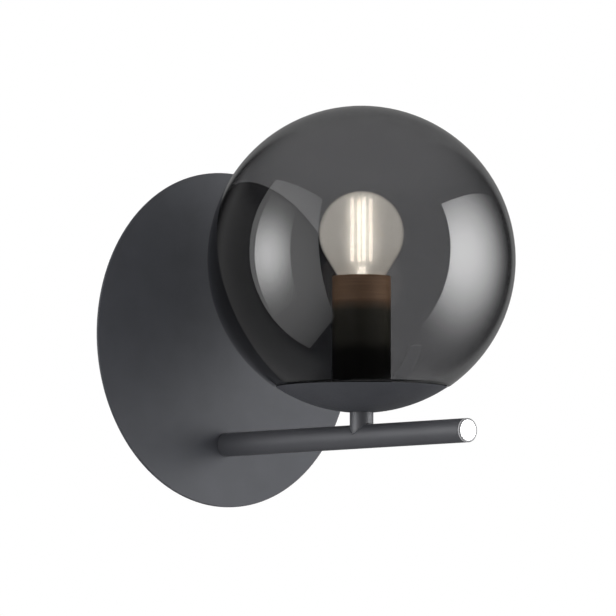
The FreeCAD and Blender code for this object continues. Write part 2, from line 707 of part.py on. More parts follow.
def bulb_glass():
    centre = (0, BULB_Z)
    top, tangent, cone_end, neck = bulb_outline(0)
    in_top, in_tangent, in_cone_end, in_neck = bulb_outline(BULB_GLASS_T)
    envelope = turned(
        top,
        [(between(centre, top, tangent), tangent), cone_end, neck, in_neck, in_cone_end, in_tangent,
         (between(centre, in_tangent, in_top), in_top)],
    )
    return on_stem(envelope)


def bulb_cap():
    """Thin metal cap: threaded part below, flared skirt above, left plain where the thread is rolled."""
    thick = BULB_CAP_T
    inner = BULB_CAP_R - thick
    skirt_inner = BULB_SKIRT_R - thick
    lip = BULB_SHELL_LIP_R
    taper_in, taper_up = BULB_SHELL_TAPER
    flare_top = BULB_SKIRT_LOW + BULB_SKIRT_FLARE
    shell = turned(
        (lip, BULB_SHELL_LOW),
        [(BULB_CAP_R - taper_in, BULB_SHELL_LOW), (BULB_CAP_R, BULB_SHELL_LOW + taper_up),
         (BULB_CAP_R, BULB_SKIRT_LOW), (BULB_SKIRT_R, flare_top), (BULB_SKIRT_R, BULB_SKIRT_TOP),
         (skirt_inner, BULB_SKIRT_TOP), (skirt_inner, flare_top + thick), (inner, BULB_SKIRT_LOW + thick),
         (inner, BULB_SHELL_LOW + taper_up + thick), (inner - taper_in, BULB_SHELL_LOW + thick),
         (lip, BULB_SHELL_LOW + thick)],
    )
    return on_stem(shell)


def bulb_insulator():
    low = BULB_TIP_Z + BULB_TIP_T
    ring = turned(
        (BULB_INSULATOR_BORE_R, low),
        [(BULB_INSULATOR_LOW_R, low), (BULB_INSULATOR_TOP_R, BULB_SHELL_LOW),
         (BULB_INSULATOR_BORE_R, BULB_SHELL_LOW)],
    )
    return on_stem(ring)


def bulb_contact():
    """Soldered tip, domed, on the bulb's axis."""
    shoulder = BULB_TIP_Z + BULB_TIP_T
    flat_r = BULB_TIP_R / 2
    tip = turned((0, BULB_TIP_Z), [(flat_r, BULB_TIP_Z), (BULB_TIP_R, shoulder), (0, shoulder)])
    return on_stem(tip)


def filament_places():
    places = []
    for i in range(FILAMENTS):
        turn = math.radians(FILAMENT_TURN + 360 * i / FILAMENTS)
        places.append(V(FILAMENT_CIRCLE_R * math.cos(turn), FILAMENT_CIRCLE_R * math.sin(turn), 0))
    return places


def bulb_filaments():
    length = FILAMENT_TOP - FILAMENT_LOW
    sticks = [cylinder(2 * FILAMENT_R, place + UP * FILAMENT_LOW, UP, length) for place in filament_places()]
    return on_stem(Part.makeCompound(sticks))


def filament_wires():
    """A wire from the mount to each filament's foot, and a cross that ties their tops."""
    wires = []
    for place in filament_places():
        foot = place + UP * (FILAMENT_LOW - WIRE_R)
        root = place * WIRE_ROOT + UP * (MOUNT_TOP + WIRE_R)
        wires.append(cylinder(2 * WIRE_R, root, foot - root, foot.distanceToPoint(root)))
        tip = place + UP * (FILAMENT_TOP + WIRE_R)
        hub = UP * (FILAMENT_TOP + WIRE_CROSS_H)
        wires.append(cylinder(2 * WIRE_R, tip, hub - tip, hub.distanceToPoint(tip)))
    foot_wires = wires[0::2]
    top_cross = joined(wires[1::2])
    return on_stem(Part.makeCompound(foot_wires + [top_cross]))


def bulb_mount():
    """Glass stem inside the neck, flared at its foot and pressed narrow at its top."""
    foot_r = BULB_NECK_R - BULB_GLASS_T - MOUNT_FOOT_GAP
    foot = BULB_SKIRT_TOP - BULB_GLASS_IN_CAP
    throat = (MOUNT_THROAT_R, foot + MOUNT_FLARE_H)
    mount = turned(
        (0, foot),
        [(foot_r, foot), (foot_r, foot + MOUNT_FOOT_T), throat, (MOUNT_R, MOUNT_TOP - MOUNT_FOOT_T),
         (MOUNT_TIP_R, MOUNT_TOP), (0, MOUNT_TOP)],
    )
    return on_stem(mount)


def bulb_driver():
    middle = (BULB_SHELL_LOW + BULB_SKIRT_LOW) / 2
    return on_stem(box(DRIVER_BOARD, (0, 0, middle)))


# --- Wiring ---

def pole_places():
    first = -BLOCK_PITCH * (BLOCK_POLES - 1) / 2
    return [first + BLOCK_PITCH * i for i in range(BLOCK_POLES)]


def terminal_boss():
    low = V(BLOCK_PITCH / 2, PLATE_BACK_Y, BLOCK_Z)
    return tube(2 * BLOCK_FIX_HEAD_D, BLOCK_FIX_D, low, TO_WALL, BLOCK_LIFT)


def terminal_block():
    """Three barrels side by side on a foot, with two screw towers on each."""
    width = BLOCK_PITCH * (BLOCK_POLES - 1) + 2 * BLOCK_POLE_R
    foot_y = PLATE_BACK_Y + BLOCK_LIFT + BLOCK_FOOT_T / 2
    pieces = [box((width, BLOCK_FOOT_T, BLOCK_H), (0, foot_y, BLOCK_Z))]
    bores = []
    for x in pole_places():
        low = V(x, BLOCK_Y, BLOCK_LOW_Z)
        pieces.append(box((2 * BLOCK_POLE_R - BLOCK_WEB, 2 * BLOCK_POLE_R, BLOCK_H), (x, BLOCK_Y, BLOCK_Z)))
        bores.append(cylinder(2 * BLOCK_BARREL_R[1], low, UP, BLOCK_H))
        for end in (-1, 1):
            tower = V(x, BLOCK_Y, BLOCK_Z + end * BLOCK_SCREW_Z)
            height = BLOCK_POLE_R + BLOCK_TOWER_H
            pieces.append(cylinder(BLOCK_SCREW_D + 2 * BLOCK_SCREW_WALL, tower, TO_WALL, height))
            bores.append(cylinder(BLOCK_SCREW_D + BLOCK_SCREW_PLAY, tower, TO_WALL, height))
    fixing = V(BLOCK_PITCH / 2, PLATE_BACK_Y, BLOCK_Z)
    bores.append(cylinder(BLOCK_FIX_D, fixing, TO_WALL, CANOPY_DEPTH))
    recess = fixing + TO_WALL * (BLOCK_LIFT + BLOCK_FOOT_T)
    bores.append(cylinder(BLOCK_FIX_HEAD_D + BLOCK_FIX_PLAY, recess, TO_WALL, CANOPY_DEPTH))
    return joined(pieces).cut(bores)


def terminal_barrels():
    inner, outer = BLOCK_BARREL_R
    barrels = []
    for x in pole_places():
        low = V(x, BLOCK_Y, BLOCK_LOW_Z + BLOCK_BARREL_IN)
        barrel = tube(2 * outer, 2 * inner, low, UP, BLOCK_H - 2 * BLOCK_BARREL_IN)
        for end in (-1, 1):
            tower = V(x, BLOCK_Y, BLOCK_Z + end * BLOCK_SCREW_Z)
            barrel = barrel.cut(cylinder(BLOCK_SCREW_D, tower, TO_WALL, BLOCK_POLE_R))
        barrels.append(barrel)
    return Part.makeCompound(barrels)


def terminal_screws():
    screws = []
    for x in pole_places():
        for end in (-1, 1):
            tip = V(x, BLOCK_Y + BLOCK_BARREL_R[0] - BLOCK_SCREW_GAP, BLOCK_Z + end * BLOCK_SCREW_Z)
            screw = cylinder(BLOCK_SCREW_D, tip, TO_WALL, BLOCK_POLE_R)
            head = tip + TO_WALL * BLOCK_POLE_R
            slot = box((BLOCK_SCREW_D, *BLOCK_SCREW_SLOT), (head.x, head.y, head.z))
            screws.append(screw.cut(slot))
    return Part.makeCompound(screws)


def terminal_fixing():
    head_y = PLATE_BACK_Y + BLOCK_LIFT + BLOCK_FOOT_T
    shank = cylinder(BLOCK_FIX_D, V(BLOCK_PITCH / 2, PLATE_BACK_Y, BLOCK_Z), TO_WALL, head_y - PLATE_BACK_Y)
    head = cylinder(BLOCK_FIX_HEAD_D, V(BLOCK_PITCH / 2, head_y, BLOCK_Z), TO_WALL, BLOCK_FIX_HEAD_D / 2)
    return shank.fuse(head)


def earth_stud():
    return cylinder(EARTH_STUD_D, V(EARTH_STUD_X, PLATE_BACK_Y, EARTH_STUD_Z), TO_WALL, EARTH_STUD_L)


def earth_washer():
    low = V(EARTH_STUD_X, PLATE_BACK_Y, EARTH_STUD_Z)
    return tube(EARTH_WASHER_D, EARTH_STUD_D + EARTH_STUD_PLAY, low, TO_WALL, WASHER_T)


def earth_ring():
    """Ring terminal crimped on the earth lead, lying between the washer and the nut."""
    low = PLATE_BACK_Y + WASHER_T
    centre = V(EARTH_STUD_X, low, EARTH_STUD_Z)
    plate = cylinder(2 * EARTH_RING_R, centre, TO_WALL, EARTH_RING_T)
    reach = EARTH_RING_R + EARTH_NECK
    neck = box((reach, EARTH_RING_T, 2 * EARTH_BARREL_R),
               (EARTH_STUD_X + reach / 2, low + EARTH_RING_T / 2, EARTH_STUD_Z))
    barrel_y = low + EARTH_BARREL_R
    barrel = cylinder(2 * EARTH_BARREL_R, V(EARTH_BARREL_X, barrel_y, EARTH_STUD_Z), V(1, 0, 0), EARTH_BARREL_L)
    grip = V(EARTH_BARREL_END_X - LEAD_GRIP, barrel_y, EARTH_STUD_Z)
    lead_hole = cylinder(LEAD_D, grip, V(1, 0, 0), LEAD_GRIP)
    stud_hole = cylinder(EARTH_STUD_D + EARTH_STUD_PLAY, centre, TO_WALL, EARTH_RING_T)
    return joined([plate, neck, barrel]).cut([lead_hole, stud_hole])


def earth_nut():
    hexagon = nut(EARTH_NUT_FLATS, EARTH_NUT_T, EARTH_STUD_D + THREAD_PLAY)
    y = PLATE_BACK_Y + WASHER_T + EARTH_RING_T
    return hexagon.rotated(V(0, 0, 0), V(1, 0, 0), -90).translated(V(EARTH_STUD_X, y, EARTH_STUD_Z))


def arm_lead(side):
    """Live or neutral lead: out of the block, round into the arm, up the stem and to its terminal."""
    pole_x = side * BLOCK_PITCH
    run_x = side * LEAD_SIDE
    near_wall = -BRACKET_T - LEAD_D
    terminal_x = side * TERMINAL_X
    points = [
        V(pole_x, BLOCK_Y, BLOCK_LOW_Z + BLOCK_BARREL_IN + LEAD_GRIP),
        V(pole_x, BLOCK_Y, BLOCK_LOW_Z - LEAD_DROP),
        V(run_x, near_wall, ARM_Z + LEAD_BEND_ABOVE_ARM),
        V(run_x, near_wall, ARM_Z),
        V(run_x, STEM_Y, ARM_Z),
        V(run_x, STEM_Y, SOCKET_Z + SOCKET_FLOOR + LEAD_RISE),
        V(terminal_x, STEM_Y, TERMINAL_LOW_Z - LEAD_STRAIGHT),
        V(terminal_x, STEM_Y, TERMINAL_LOW_Z + LEAD_GRIP),
    ]
    return lead(points, LEAD_BENDS)


def earth_lead():
    barrel_y = PLATE_BACK_Y + WASHER_T + EARTH_BARREL_R
    points = [
        V(0, BLOCK_Y, BLOCK_LOW_Z + BLOCK_BARREL_IN + LEAD_GRIP),
        V(0, BLOCK_Y, EARTH_STUD_Z),
        V(EARTH_LEAD_TURN_X, barrel_y, EARTH_STUD_Z),
        V(EARTH_BARREL_END_X - LEAD_GRIP, barrel_y, EARTH_STUD_Z),
    ]
    return lead(points, EARTH_LEAD_BENDS)


PARTS = {
    "wall_bracket": wall_bracket,
    "side_screws": side_screws,
    "wall_plate": wall_plate,
    "plate_skirt": plate_skirt,
    "arm_tube": arm_tube,
    "end_cap": end_cap,
    "arm_nipple": arm_nipple,
    "arm_washer": arm_washer,
    "arm_nut": arm_nut,
    "stem_tube": stem_tube,
    "stem_nipple": stem_nipple,
    "cup": cup,
    "cup_washer": cup_washer,
    "cup_nut": cup_nut,
    "globe_spring": globe_spring,
    "seat_ring": seat_ring,
    "globe_glass": globe_glass,
    "holder_sleeve": holder_sleeve,
    "holder_collar": holder_collar,
    "holder_base": holder_base,
    "holder_core": holder_core,
    "holder_body": holder_body,
    "screw_shell": screw_shell,
    "centre_contact": centre_contact,
    "shell_contact": shell_contact,
    "holder_terminals": holder_terminals,
    "bulb_glass": bulb_glass,
    "bulb_cap": bulb_cap,
    "bulb_insulator": bulb_insulator,
    "bulb_contact": bulb_contact,
    "bulb_filaments": bulb_filaments,
    "filament_wires": filament_wires,
    "bulb_mount": bulb_mount,
    "bulb_driver": bulb_driver,
    "terminal_boss": terminal_boss,
    "terminal_block": terminal_block,
    "terminal_barrels": terminal_barrels,
    "terminal_screws": terminal_screws,
    "terminal_fixing": terminal_fixing,
    "earth_stud": earth_stud,
    "earth_washer": earth_washer,
    "earth_ring": earth_ring,
    "earth_nut": earth_nut,
    "live_lead": lambda: arm_lead(1),
    "neutral_lead": lambda: arm_lead(-1),
    "earth_lead": earth_lead,
}

os.makedirs("parts", exist_ok=True)
for name, make in PARTS.items():
    make().exportStep(f"parts/{name}.step")
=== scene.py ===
import json
import math

import bpy
from mathutils import Matrix, Vector


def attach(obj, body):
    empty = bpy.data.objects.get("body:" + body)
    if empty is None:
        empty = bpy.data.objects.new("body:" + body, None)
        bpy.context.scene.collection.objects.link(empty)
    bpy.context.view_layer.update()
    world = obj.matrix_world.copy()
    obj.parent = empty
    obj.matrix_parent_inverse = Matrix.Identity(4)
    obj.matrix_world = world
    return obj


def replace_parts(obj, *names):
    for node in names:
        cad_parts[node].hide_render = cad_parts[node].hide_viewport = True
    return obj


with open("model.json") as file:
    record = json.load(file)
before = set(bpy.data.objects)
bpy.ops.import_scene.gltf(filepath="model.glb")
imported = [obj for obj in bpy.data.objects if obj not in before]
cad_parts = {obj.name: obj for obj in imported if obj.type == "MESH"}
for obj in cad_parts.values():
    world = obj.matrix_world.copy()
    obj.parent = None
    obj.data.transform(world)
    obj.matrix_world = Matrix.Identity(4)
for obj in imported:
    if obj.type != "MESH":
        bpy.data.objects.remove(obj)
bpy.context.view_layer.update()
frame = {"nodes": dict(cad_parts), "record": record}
NODES = frame["nodes"]
MM = 0.001

# Places and sizes that the solids set, in mm.
STEM_Y = -129.0                # the stem's axis, out from the wall
ARM_Z = -56.5                  # the arm's axis, from the plate's centre
ARM_R = 6.35
ARM_FACE = 212.0               # the end cap's polished face, out from the wall
GLOBE_CENTRE = Vector((0, STEM_Y, 37.0)) * MM
LAMP_PITCH = 2.82              # of the lamp's 14 mm screw thread
LAMP_THREAD_STEP = 0.235       # height between the rows of its mesh


def add_object(name, data):
    made = bpy.data.objects.new(name, data)
    bpy.context.scene.collection.objects.link(made)
    return made


def stand(made, place, right, up, back):
    """Put an object at place, with its own x, y and z axes along right, up and back."""
    turn = Matrix((right, up, back)).transposed().to_4x4()
    made.matrix_world = Matrix.Translation(place) @ turn


# --- Camera, at the photograph's place ---

CAMERA_TURN, CAMERA_TILT = -41.6, -4.0     # degrees round the upright axis and above the level
CAMERA_AWAY = 4.5
LOOKS_AT = Vector((0, -0.060, 0))
SHIFT_RIGHT, SHIFT_UP = 0.01754, 0.01510   # put the object where it is in the photograph


def camera_axes(turn, tilt):
    """Unit vectors back to the camera, to its right and up."""
    a, e = math.radians(turn), math.radians(tilt)
    back = Vector((math.sin(a) * math.cos(e), -math.cos(a) * math.cos(e), math.sin(e)))
    right = Vector((math.cos(a), math.sin(a), 0))
    return back, right, back.cross(right)


BACK, RIGHT, CAM_UP = camera_axes(CAMERA_TURN, CAMERA_TILT)
camera = add_object("camera", bpy.data.cameras.new("camera"))
camera.data.lens = 492.3
camera.data.sensor_width = 36
camera.data.clip_start, camera.data.clip_end = 0.1, 50
target = LOOKS_AT + RIGHT * SHIFT_RIGHT + CAM_UP * SHIFT_UP
stand(camera, target + BACK * CAMERA_AWAY, RIGHT, CAM_UP, BACK)
bpy.context.scene.camera = camera


# --- Shader nodes ---

def add_node(tree, kind, **values):
    """New node; a value goes to the socket of its name, or else to the property of that name."""
    made = tree.nodes.new(kind)
    for key, value in values.items():
        if key in made.inputs:
            made.inputs[key].default_value = value
        else:
            setattr(made, key, value)
    return made


def plug(tree, value, socket):
    """Link an output into a socket, or set the socket itself from a number, vector or colour."""
    if isinstance(value, bpy.types.NodeSocket):
        tree.links.new(value, socket)
    elif socket.type == "RGBA":
        socket.default_value = (*value, 1)
    else:
        socket.default_value = value


def math_node(tree, operation, *values):
    made = add_node(tree, "ShaderNodeMath", operation=operation)
    for value, socket in zip(values, made.inputs):
        plug(tree, value, socket)
    return made.outputs[0]


def product(tree, first, *factors):
    for factor in factors:
        first = math_node(tree, "MULTIPLY", first, factor)
    return first


def largest(tree, first, *others):
    for other in others:
        first = math_node(tree, "MAXIMUM", first, other)
    return first


def vector_math(tree, operation, *values):
    made = add_node(tree, "ShaderNodeVectorMath", operation=operation)
    for value, socket in zip(values, made.inputs):
        plug(tree, value, socket)
    return made.outputs["Value" if operation in ("DOT_PRODUCT", "LENGTH") else "Vector"]


def map_range(tree, value, low, high, start, end, smooth=False):
    """As value runs from start to end, the result runs from low to high and stays there."""
    made = add_node(tree, "ShaderNodeMapRange",
                    interpolation_type="SMOOTHSTEP" if smooth else "LINEAR",
                    **{"From Min": start, "From Max": end, "To Min": low, "To Max": high})
    plug(tree, value, made.inputs["Value"])
    return made.outputs["Result"]


def mix_colours(tree, share, first, second):
    """First where share is 0, second where it is 1."""
    made = add_node(tree, "ShaderNodeMix", data_type="RGBA")
    for value, socket in zip((share, first, second), (made.inputs[i] for i in (0, 6, 7))):
        plug(tree, value, socket)
    return made.outputs[2]


def mix_surfaces(tree, share, first, second):
    """The same for two shaders, straight into the material's output."""
    made = add_node(tree, "ShaderNodeMixShader")
    for value, socket in zip((share, first, second), made.inputs):
        plug(tree, value, socket)
    plug(tree, made.outputs[0], tree.nodes["Material Output"].inputs["Surface"])


# --- Materials ---

class Mat:
    """A node material with one Principled shader, and short calls for what is plugged into it.

    A noise is given by its scale and detail. Lengths and heights are in metres.
    """

    def __init__(self, name, color, rough, metallic=0.0, **sockets):
        self.mat = bpy.data.materials.new(name)
        self.mat.use_nodes = True
        self.tree = self.mat.node_tree
        self.shader = self.tree.nodes["Principled BSDF"]
        self.color = color
        self.set("Base Color", color)
        self.set("Roughness", rough)
        self.set("Metallic", metallic)
        for key, value in sockets.items():
            self.set(key.replace("_", " "), value)
        self.coords = self.node("ShaderNodeTexCoord").outputs["Object"]
        self.normal = None

    def node(self, kind, **values):
        return add_node(self.tree, kind, **values)

    def set(self, socket, value):
        """Give one of the shader's sockets a plain value or an output."""
        plug(self.tree, value, self.shader.inputs[socket])

    def height(self):
        split = self.node("ShaderNodeSeparateXYZ")
        plug(self.tree, self.coords, split.inputs[0])
        return split.outputs["Z"]

    def mapped(self, **values):
        """The object's own coordinates, scaled or moved."""
        mapping = self.node("ShaderNodeMapping", **values)
        plug(self.tree, self.coords, mapping.inputs["Vector"])
        return mapping.outputs["Vector"]

    def texture(self, kind, vector=None, output="Fac", **values):
        made = self.node(kind, **values)
        plug(self.tree, vector or self.coords, made.inputs["Vector"])
        return made.outputs[output]

    def noise(self, scale, detail, stretch=(1, 1, 1)):
        return self.texture("ShaderNodeTexNoise", self.mapped(Scale=stretch), Scale=scale,
                            Detail=detail)

    def ramp(self, value, low, high, start, end):
        return map_range(self.tree, value, low, high, start, end)

    def mix(self, share, first, second):
        return mix_colours(self.tree, share, first, second)

    def blend(self, value, other, start=0.3, end=0.7):
        """Let the base colour run from the material's own to other as value runs up."""
        mixed = self.mix(self.ramp(value, 0, 1, start, end), self.color, other)
        self.set("Base Color", mixed)
        return mixed

    def rough_from(self, value, low, high, start=0.3, end=0.7):
        self.set("Roughness", self.ramp(value, low, high, start, end))

    def bend_normal(self, node):
        self.normal = node.outputs["Normal"]
        self.set("Normal", self.normal)

    def round_edges(self, radius):
        self.bend_normal(self.node("ShaderNodeBevel", samples=4, Radius=radius))

    def bump(self, value, distance, strength):
        made = self.node("ShaderNodeBump", Strength=strength, Distance=distance)
        plug(self.tree, value, made.inputs["Height"])
        if self.normal is not None:
            plug(self.tree, self.normal, made.inputs["Normal"])
        self.bend_normal(made)

    def glow(self, color, strength):
        self.set("Emission Color", color)
        self.set("Emission Strength", strength)


def shade(color, factor):
    return tuple(c * factor for c in color)


def dark_paint(name="dark_paint", color=(0.079, 0.082, 0.094), rough=0.51, gloss=0.16):
    """Matt powder coat: faint mottling, fine orange peel, a little polish along the edges."""
    m = Mat(name, color, rough, Specular_IOR_Level=gloss)
    m.round_edges(0.0004)
    m.blend(m.noise(60, 4), shade(color, 0.9))
    m.rough_from(m.noise(900, 2), rough - 0.05, rough + 0.05)
    m.bump(m.noise(1400, 2), 0.00003, 0.35)
    m.bump(m.noise(260, 1), 0.00004, 0.25)
    return m.mat


def chrome():
    """Polished chrome with faint turning marks round the arm's axis."""
    m = Mat("polished_chrome", (0.86, 0.86, 0.87), 0.06, 1.0)
    rings = m.texture("ShaderNodeTexWave", m.mapped(Location=(0, 0, -ARM_Z * MM)),
                      wave_type="RINGS", rings_direction="Y", Scale=900, Distortion=0.4)
    m.rough_from(m.noise(400, 3), 0.04, 0.10)
    m.bump(rings, 0.000002, 0.15)
    return m.mat


def zinc():
    """Bright zinc plate: spangled patches with an uneven gloss."""
    m = Mat("zinc_steel", (0.60, 0.60, 0.57), 0.34, 0.6)
    m.round_edges(0.0002)
    cells = m.texture("ShaderNodeTexVoronoi", output="Color", Scale=500)
    m.blend(cells, shade(m.color, 0.82), 0.2, 0.9)
    m.rough_from(m.noise(350, 4), 0.26, 0.44)
    m.bump(m.noise(1600, 2), 0.00002, 0.3)
    return m.mat


def spring_steel():
    """Blued spring steel with rolling marks."""
    m = Mat("spring_steel", (0.42, 0.43, 0.46), 0.3, 0.7)
    m.round_edges(0.0001)
    m.blend(m.noise(90, 3), (0.30, 0.33, 0.40))
    m.bump(m.noise(700, 2, (1, 1, 9)), 0.00001, 0.4)
    return m.mat


def silicone():
    """Milky silicone rubber with a dull, uneven skin."""
    m = Mat("silicone", (0.62, 0.62, 0.61), 0.55, Transmission_Weight=0.25, IOR=1.41)
    m.rough_from(m.noise(500, 3), 0.48, 0.62)
    m.bump(m.noise(900, 2), 0.00003, 0.3)
    return m.mat


def smoked_glass():
    """Blown smoked glass: both faces tint what passes, and its surface has slow waves."""
    m = Mat("smoked_glass", (0.295, 0.295, 0.30), 0.0, Transmission_Weight=1.0, IOR=1.5)
    m.rough_from(m.noise(40, 2), 0.0, 0.012)
    m.bump(m.noise(11, 1), 0.0006, 0.12)
    return m.mat


def black_sleeve():
    """Black sleeve with a painted warm glow of the bulb's light just below the collar, and painted
    shade, deepest black, round the foot.
    """
    painted_shade_over = (-0.012, -0.006)       # heights, where the painted shade runs from darkest to its own black
    bulb_glow_over = (0.0095, 0.0143)      # and where the bulb's painted warm light turns it brown
    m = Mat("black_sleeve", (0.048, 0.048, 0.04), 0.38)
    m.round_edges(0.0002)
    height = m.height()
    mottled = m.blend(m.noise(120, 3), (0.06, 0.06, 0.05))
    # Painted shade: darkest black round the foot.
    foot = m.mix(m.ramp(height, 1, 0, *painted_shade_over), mottled, (0.012, 0.012, 0.011))
    # Painted light: the bulb's warm glow turns the sleeve brown just below the collar.
    m.set("Base Color", m.mix(m.ramp(height, 0, 1, *bulb_glow_over), foot, (0.20, 0.135, 0.095)))
    m.rough_from(m.noise(500, 3), 0.32, 0.46)
    m.bump(m.noise(1500, 2), 0.00002, 0.3)
    return m.mat


def bronze():
    """Satin bronze, brushed round the collar, with painted shade where it meets the sleeve."""
    painted_shade_over = (0.0140, 0.0160)       # heights of the painted shade
    m = Mat("bronze", (0.44, 0.285, 0.19), 0.36, 0.3)
    m.round_edges(0.0002)
    brushed = m.blend(m.noise(1500, 2, (0.03, 0.03, 1)), shade(m.color, 0.8))
    # Painted shade: darker towards the collar's foot.
    low = m.mix(m.ramp(m.height(), 1, 0, *painted_shade_over), brushed, (0.20, 0.13, 0.09))
    m.set("Base Color", low)
    m.bump(m.noise(2500, 2, (0.02, 0.02, 1)), 0.00001, 0.4)
    return m.mat


def moulded(name, color, rough=0.45):
    """Moulded thermoplastic: fine spark-eroded grain and slightly uneven gloss."""
    m = Mat(name, color, rough, Specular_IOR_Level=0.4)
    m.round_edges(0.0002)
    m.blend(m.noise(150, 3), shade(color, 0.88))
    m.rough_from(m.noise(600, 3), rough - 0.06, rough + 0.08)
    m.bump(m.noise(2600, 2), 0.00002, 0.4)
    return m.mat


def ceramic():
    """Glazed ceramic, a little yellowed in patches."""
    m = Mat("white_ceramic", (0.82, 0.81, 0.76), 0.2, Coat_Weight=0.6, Coat_Roughness=0.08)
    m.round_edges(0.0003)
    m.blend(m.noise(220, 4), (0.72, 0.70, 0.63))
    m.bump(m.noise(400, 3), 0.00005, 0.3)
    return m.mat


def plated():
    """Nickel plate on rolled sheet, faintly stained."""
    m = Mat("plated_shell", (0.72, 0.71, 0.68), 0.22, 0.75)
    m.blend(m.noise(180, 4), (0.60, 0.58, 0.52))
    m.rough_from(m.noise(700, 3), 0.16, 0.32)
    m.bump(m.noise(1800, 2), 0.00001, 0.4)
    return m.mat


def brass():
    """Drawn brass, browned in patches."""
    m = Mat("brass", (0.72, 0.52, 0.22), 0.28, 0.65)
    m.round_edges(0.0001)
    m.blend(m.noise(260, 4), (0.55, 0.37, 0.14))
    m.rough_from(m.noise(800, 3), 0.2, 0.4)
    m.bump(m.noise(2400, 2, (1, 1, 0.1)), 0.00001, 0.4)
    return m.mat


def lamp_glass():
    """Lamp glass with painted shade round its outline and a painted glow of the light inside,
    fainter at the outline and dimmer low down.
    """
    rim_over = (0.68, 0.95)            # of the way from face on to edge on
    warm_over = (0.024, 0.046)         # heights
    m = Mat("bulb_glass", (0.84, 0.835, 0.82), 0.0, Transmission_Weight=1.0, IOR=1.45)
    rim = m.node("ShaderNodeLayerWeight", Blend=0.5).outputs["Facing"]
    # Painted shade: the glass darkens towards its outline.
    m.blend(rim, (0.28, 0.28, 0.27), *rim_over)
    m.rough_from(m.noise(9000, 1), 0.0, 0.58, 0.47, 0.53)
    m.bump(m.noise(60, 2), 0.0001, 0.2)
    # Painted glow: emission on the glass for the light inside, dimmer low down and at the outline.
    rising = m.ramp(m.height(), 0, 1, *warm_over)
    warm = m.mix(rising, (0.62, 0.56, 0.48), (1.0, 0.94, 0.85))
    m.glow(m.mix(m.ramp(rim, 0, 1, *rim_over), warm, (0.35, 0.33, 0.30)), 0.25)
    return m.mat


def mount_glass():
    """The stem that carries the filaments: clear lead glass with drawn streaks, and a painted glow
    for their light on it.
    """
    m = Mat("bulb_mount_glass", (0.95, 0.94, 0.90), 0.04, Transmission_Weight=1.0, IOR=1.52)
    m.bump(m.noise(300, 2, (1, 1, 0.1)), 0.0001, 0.3)
    # Painted glow: the filaments' light on the glass, as emission.
    m.glow((1.0, 0.93, 0.82), 2.2)
    return m.mat


def black_glass():
    """Black glass insulator with a fired, slightly rippled face."""
    m = Mat("black_glass", (0.01, 0.01, 0.014), 0.08, Coat_Weight=0.5)
    m.blend(m.noise(500, 3), (0.02, 0.02, 0.03))
    m.bump(m.noise(700, 2), 0.00003, 0.3)
    return m.mat


def solder():
    """Solder, frosted in patches as it set."""
    m = Mat("solder", (0.66, 0.66, 0.64), 0.3, 1.0)
    m.blend(m.noise(900, 3), (0.48, 0.48, 0.46))
    m.bump(m.noise(700, 3), 0.0001, 0.5)
    return m.mat


def filament():
    """Lit phosphor rod: grains of light along it, a little warmer between the chips."""
    m = Mat("filament", (1.0, 0.74, 0.30), 0.6)
    beads = m.texture("ShaderNodeTexWave", wave_type="BANDS", bands_direction="Z", Scale=420,
                      Distortion=0.3)
    m.glow(m.mix(m.ramp(beads, 0, 1, 0.0, 0.6), (1.0, 0.92, 0.82), (1.0, 0.97, 0.92)), 6.0)
    m.bump(m.noise(2500, 2), 0.00003, 0.4)
    return m.mat


def drawn_wire(name, color, rough, dull):
    """Bright wire with dull patches and drawing marks, as a Mat."""
    m = Mat(name, color, rough, 1.0)
    m.blend(m.noise(600, 3), dull)
    m.bump(m.noise(3000, 2, (1, 1, 0.1)), 0.00001, 0.4)
    return m


def lit_wire():
    """Wires beside the lit rods, with a painted glow for their light."""
    m = drawn_wire("lit_wire", (0.80, 0.78, 0.72), 0.3, (0.62, 0.60, 0.54))
    # Painted glow: the rods' light on the wires, as emission.
    m.glow((1.0, 0.94, 0.84), 2.4)
    return m.mat


def satin(name, level):
    """Turned edge of the chrome cap, blasted matt: it greys what the polished face mirrors."""
    m = Mat(name, (level, level, level * 1.03), 0.5, Specular_IOR_Level=0.3)
    m.blend(m.noise(500, 3), shade(m.color, 0.85))
    m.rough_from(m.noise(900, 2), 0.44, 0.6)
    m.bump(m.noise(2600, 2), 0.00001, 0.4)
    return m.mat


def board():
    """Green lacquered circuit board with raised tracks."""
    m = Mat("circuit_board", (0.035, 0.16, 0.07), 0.3, Coat_Weight=0.4)
    tracks = m.texture("ShaderNodeTexBrick", Scale=900)
    m.blend(tracks, (0.07, 0.26, 0.12), 0.2, 0.8)
    m.bump(tracks, 0.00005, 0.4)
    return m.mat


def insulation(name, color, stripe=None):
    """Extruded lead insulation; an earth lead has its second colour running round it."""
    m = Mat(name, color, 0.42)
    if stripe is None:
        m.blend(m.noise(300, 3), shade(color, 0.85))
    else:
        bands = m.texture("ShaderNodeTexWave", wave_type="BANDS", bands_direction="DIAGONAL",
                          Scale=110)
        m.blend(bands, stripe, 0.45, 0.55)
    m.rough_from(m.noise(500, 3), 0.36, 0.5)
    m.bump(m.noise(1200, 2), 0.00003, 0.3)
    return m.mat


